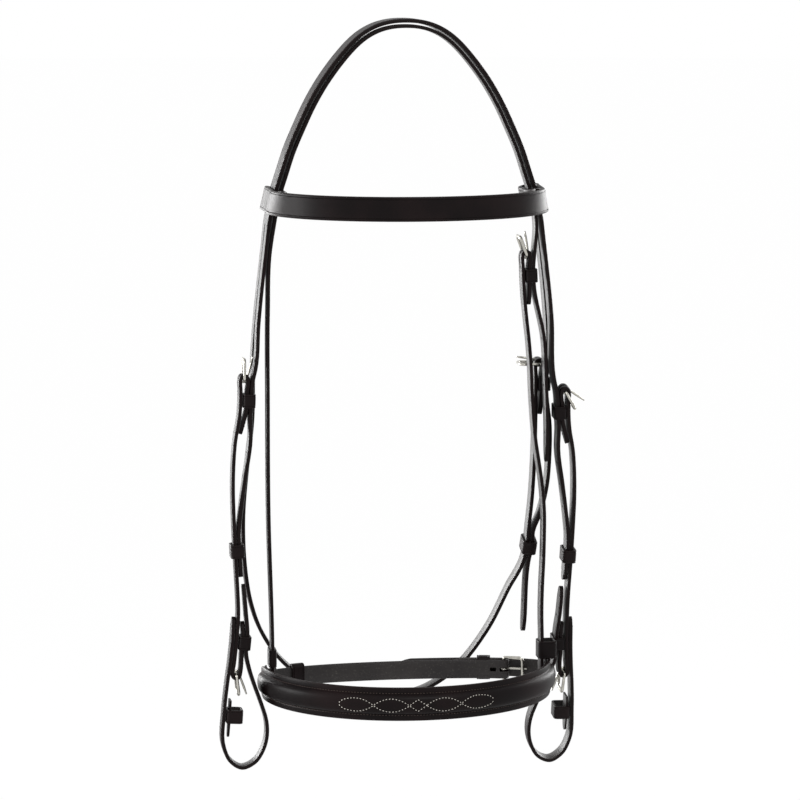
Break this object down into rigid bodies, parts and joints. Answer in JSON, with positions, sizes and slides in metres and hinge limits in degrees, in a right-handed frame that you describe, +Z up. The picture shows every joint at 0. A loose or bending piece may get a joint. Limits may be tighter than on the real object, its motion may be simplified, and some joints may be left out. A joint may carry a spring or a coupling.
{
  "type": "racing bridle",
  "caption": "English horse bridle without bit or reins: crown, browband, raised noseband on its own headstrap, buckled cheekpieces and throatlatch.",
  "frame": {"origin": "underside of the noseband headstrap at the middle of the poll, where the horse's head carries the bridle", "axes": "+Z up, -Y towards the horse's nose and brow, +X to the viewer's right when the bridle is seen from the front"},
  "size_m": [0.3135, 0.1902, 0.6434],
  "materials": {
    "bridle_leather": "waxed, satin, very dark brown",
    "lining_leather": "soft matt lining, very dark brown",
    "nickel": "polished nickel plate"
  },
  "bodies": {
    "headstall": {"crown": "bridle_leather", "noseband_headstrap": "bridle_leather", "noseband_strap": "bridle_leather", "headstrap_keeper": "bridle_leather", "browband": "bridle_leather", "cheekpiece_left": "bridle_leather", "bit_billet_left": "bridle_leather", "cheek_keeper_left": "bridle_leather", "bit_keeper_left": "bridle_leather", "bit_tab_left": "bridle_leather", "lower_keeper_left": "bridle_leather", "noseband_loop_left": "bridle_leather", "cheekpiece_right": "bridle_leather", "bit_billet_right": "bridle_leather", "cheek_keeper_right": "bridle_leather", "bit_keeper_right": "bridle_leather", "bit_tab_right": "bridle_leather", "lower_keeper_right": "bridle_leather", "noseband_loop_right": "bridle_leather", "throat_keeper": "bridle_leather", "noseband": "bridle_leather", "noseband_lining": "lining_leather", "chin_strap": "bridle_leather", "chin_keeper": "bridle_leather"},
    "cheek_buckle_left_frame": {"cheek_buckle_left_frame": "nickel"},
    "cheek_buckle_left_tongue": {"cheek_buckle_left_tongue": "nickel"},
    "cheek_buckle_right_frame": {"cheek_buckle_right_frame": "nickel"},
    "cheek_buckle_right_tongue": {"cheek_buckle_right_tongue": "nickel"},
    "bit_buckle_left_frame": {"bit_buckle_left_frame": "nickel"},
    "bit_buckle_left_tongue": {"bit_buckle_left_tongue": "nickel"},
    "bit_buckle_right_frame": {"bit_buckle_right_frame": "nickel"},
    "bit_buckle_right_tongue": {"bit_buckle_right_tongue": "nickel"},
    "headstrap_buckle_frame": {"headstrap_buckle_frame": "nickel"},
    "headstrap_buckle_tongue": {"headstrap_buckle_tongue": "nickel"},
    "throat_buckle_frame": {"throat_buckle_frame": "nickel"},
    "throat_buckle_tongue": {"throat_buckle_tongue": "nickel"},
    "noseband_buckle_frame": {"noseband_buckle_frame": "nickel"},
    "noseband_buckle_tongue": {"noseband_buckle_tongue": "nickel"},
    "cheek_runner_left": {"cheek_runner_left": "bridle_leather"},
    "cheek_runner_right": {"cheek_runner_right": "bridle_leather"},
    "throat_runner": {"throat_runner": "bridle_leather"},
    "chin_runner": {"chin_runner": "bridle_leather"}
  },
  "joints": [
    {"name": "cheek_buckle_left_swing", "type": "hinge", "parent": "headstall", "child": "cheek_buckle_left_frame", "pos_m": [-0.13611, -0.009, -0.2908], "axis": [0, 0.9992, -0.04], "range_deg": [-140, 0]},
    {"name": "cheek_buckle_left_tongue_lift", "type": "hinge", "parent": "cheek_buckle_left_frame", "child": "cheek_buckle_left_tongue", "pos_m": [-0.13611, -0.009, -0.2908], "axis": [0, 0.9992, -0.04], "range_deg": [-13.5, 0]},
    {"name": "cheek_buckle_right_swing", "type": "hinge", "parent": "headstall", "child": "cheek_buckle_right_frame", "pos_m": [0.13611, -0.009, -0.3058], "axis": [0, -0.9946, -0.1034], "range_deg": [0, 135]},
    {"name": "cheek_buckle_right_tongue_lift", "type": "hinge", "parent": "cheek_buckle_right_frame", "child": "cheek_buckle_right_tongue", "pos_m": [0.13611, -0.009, -0.3058], "axis": [0, -0.9946, -0.1034], "range_deg": [-23.5, 0]},
    {"name": "bit_buckle_left_swing", "type": "hinge", "parent": "headstall", "child": "bit_buckle_left_frame", "pos_m": [-0.14548, -0.01894, -0.5393], "axis": [0, -0.9992, 0.04], "range_deg": [-16, 14]},
    {"name": "bit_buckle_left_tongue_lift", "type": "hinge", "parent": "bit_buckle_left_frame", "child": "bit_buckle_left_tongue", "pos_m": [-0.14548, -0.01894, -0.5393], "axis": [0, -0.9992, 0.04], "range_deg": [-11.5, 0]},
    {"name": "bit_buckle_right_swing", "type": "hinge", "parent": "headstall", "child": "bit_buckle_right_frame", "pos_m": [0.14169, 0.01684, -0.5543], "axis": [0, 0.9946, 0.1034], "range_deg": [-16, 14]},
    {"name": "bit_buckle_right_tongue_lift", "type": "hinge", "parent": "bit_buckle_right_frame", "child": "bit_buckle_right_tongue", "pos_m": [0.14169, 0.01684, -0.5543], "axis": [0, 0.9946, 0.1034], "range_deg": [-11.5, 0]},
    {"name": "headstrap_buckle_swing", "type": "hinge", "parent": "headstall", "child": "headstrap_buckle_frame", "pos_m": [0.10215, -0.0085, -0.1903], "axis": [0, 1, 0], "range_deg": [-80, 15]},
    {"name": "headstrap_buckle_tongue_lift", "type": "hinge", "parent": "headstrap_buckle_frame", "child": "headstrap_buckle_tongue", "pos_m": [0.10215, -0.0085, -0.1903], "axis": [0, 1, 0], "range_deg": [-9.5, 0]},
    {"name": "throat_buckle_swing", "type": "hinge", "parent": "headstall", "child": "throat_buckle_frame", "pos_m": [0.1172, 0.009, -0.2843], "axis": [0, 1, 0], "range_deg": [-50, 85]},
    {"name": "throat_buckle_tongue_lift", "type": "hinge", "parent": "throat_buckle_frame", "child": "throat_buckle_tongue", "pos_m": [0.1172, 0.009, -0.2843], "axis": [0, 1, 0], "range_deg": [-7.5, 0]},
    {"name": "noseband_buckle_swing", "type": "hinge", "parent": "headstall", "child": "noseband_buckle_frame", "pos_m": [0.08944, 0.0146, -0.5503], "axis": [0, 0, 1], "range_deg": [-80, 0]},
    {"name": "noseband_buckle_tongue_lift", "type": "hinge", "parent": "noseband_buckle_frame", "child": "noseband_buckle_tongue", "pos_m": [0.08944, 0.0146, -0.5503], "axis": [0, 0, 1], "range_deg": [0, 5]},
    {"name": "cheek_runner_left_slide", "type": "slide", "parent": "headstall", "child": "cheek_runner_left", "axis": [-0.0412, 0.0399, 0.9984], "range_m": [-0.006, 0.006]},
    {"name": "cheek_runner_right_slide", "type": "slide", "parent": "headstall", "child": "cheek_runner_right", "axis": [0.0411, -0.1034, 0.9938], "range_m": [-0.006, 0.006]},
    {"name": "throat_runner_slide", "type": "slide", "parent": "headstall", "child": "throat_runner", "axis": [0.0908, -0.2497, 0.9641], "range_m": [-0.004, 0.004]},
    {"name": "chin_runner_slide", "type": "slide", "parent": "headstall", "child": "chin_runner", "axis": [0.9601, 0.2797, 0], "range_m": [-0.004, 0.004]}
  ]
}
